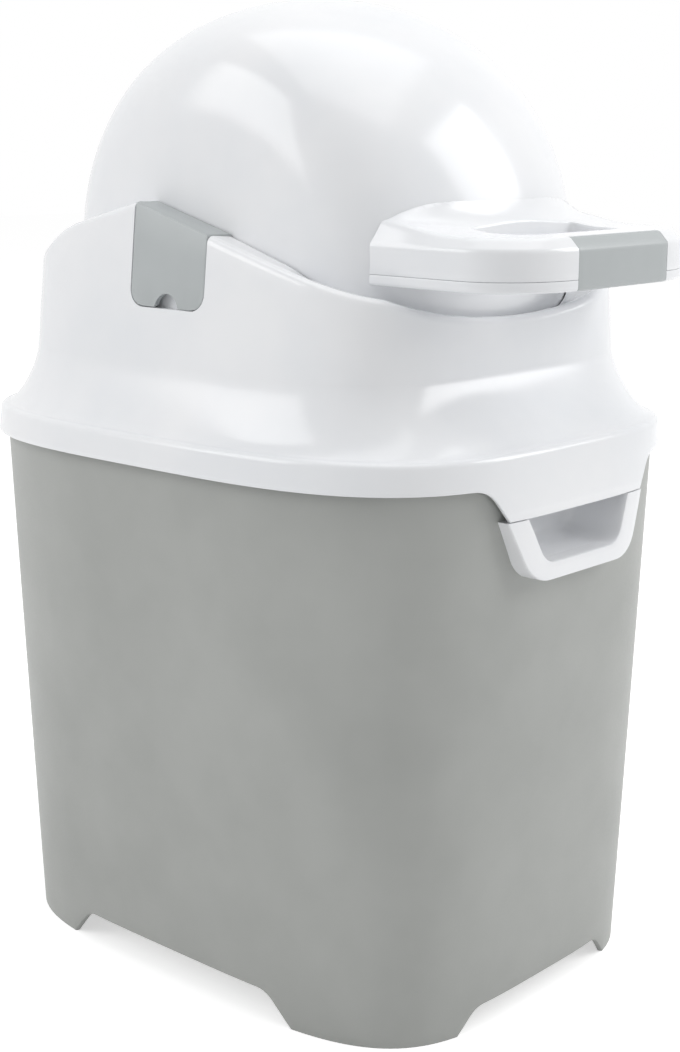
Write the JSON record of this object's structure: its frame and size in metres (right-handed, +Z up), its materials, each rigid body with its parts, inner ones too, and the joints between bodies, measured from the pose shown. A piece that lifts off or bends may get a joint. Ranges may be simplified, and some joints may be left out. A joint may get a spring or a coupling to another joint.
{
  "type": "nappy bin",
  "caption": "Upright bin for used nappies: tapered bucket, hinged hood, and a domed bowl on an axle that a front handle swings over to take a nappy and drop it into the bag.",
  "frame": {"origin": "on the floor midway between the four feet, straight under the middle of the bowl axle; within 3 mm of the middle of the bounding box", "axes": "+Z up, -Y to the front where the handle and the pull pocket are, X along the bowl's axle"},
  "size_m": [0.2624, 0.3522, 0.4811],
  "materials": {
    "bucket_grey": "satin",
    "hood_white": "glossy",
    "clip_grey": "satin",
    "inner_white": "satin",
    "seal_rubber": "matt",
    "soft_rubber": "matt",
    "bush_plastic": "satin",
    "steel": "brushed"
  },
  "bodies": {
    "bin": {"bucket": "bucket_grey", "pull_pocket": "hood_white", "bag_ring": "inner_white", "hinge_pin": "steel"},
    "hood": {"hood": "hood_white", "rim_seal": "soft_rubber", "seal_carrier": "inner_white", "bowl_seal": "seal_rubber", "carrier_screws": "steel", "bush_left": "bush_plastic", "bush_right": "bush_plastic"},
    "bowl": {"bowl_shell": "hood_white", "bowl_liner": "inner_white", "mouth_ring": "hood_white", "axle_left": "bush_plastic", "axle_right": "bush_plastic", "handle_top": "hood_white", "handle_base": "hood_white", "grip_insert": "clip_grey", "handle_screws": "steel"},
    "clip_left": {"clip_left": "clip_grey"},
    "clip_right": {"clip_right": "clip_grey"}
  },
  "joints": [
    {"name": "hood_tilt", "type": "hinge", "parent": "bin", "child": "hood", "pos_m": [0, 0.1677, 0.258], "axis": [-1, 0, 0], "range_deg": [0, 100]},
    {"name": "bowl_turn", "type": "hinge", "parent": "hood", "child": "bowl", "pos_m": [0, 0, 0.3617], "axis": [-1, 0, 0], "range_deg": [0, 165]},
    {"name": "clip_left_lift", "type": "slide", "parent": "hood", "child": "clip_left", "axis": [0, 0, 1], "range_m": [0, 0.05]},
    {"name": "clip_right_lift", "type": "slide", "parent": "hood", "child": "clip_right", "axis": [0, 0, 1], "range_m": [0, 0.05]}
  ]
}
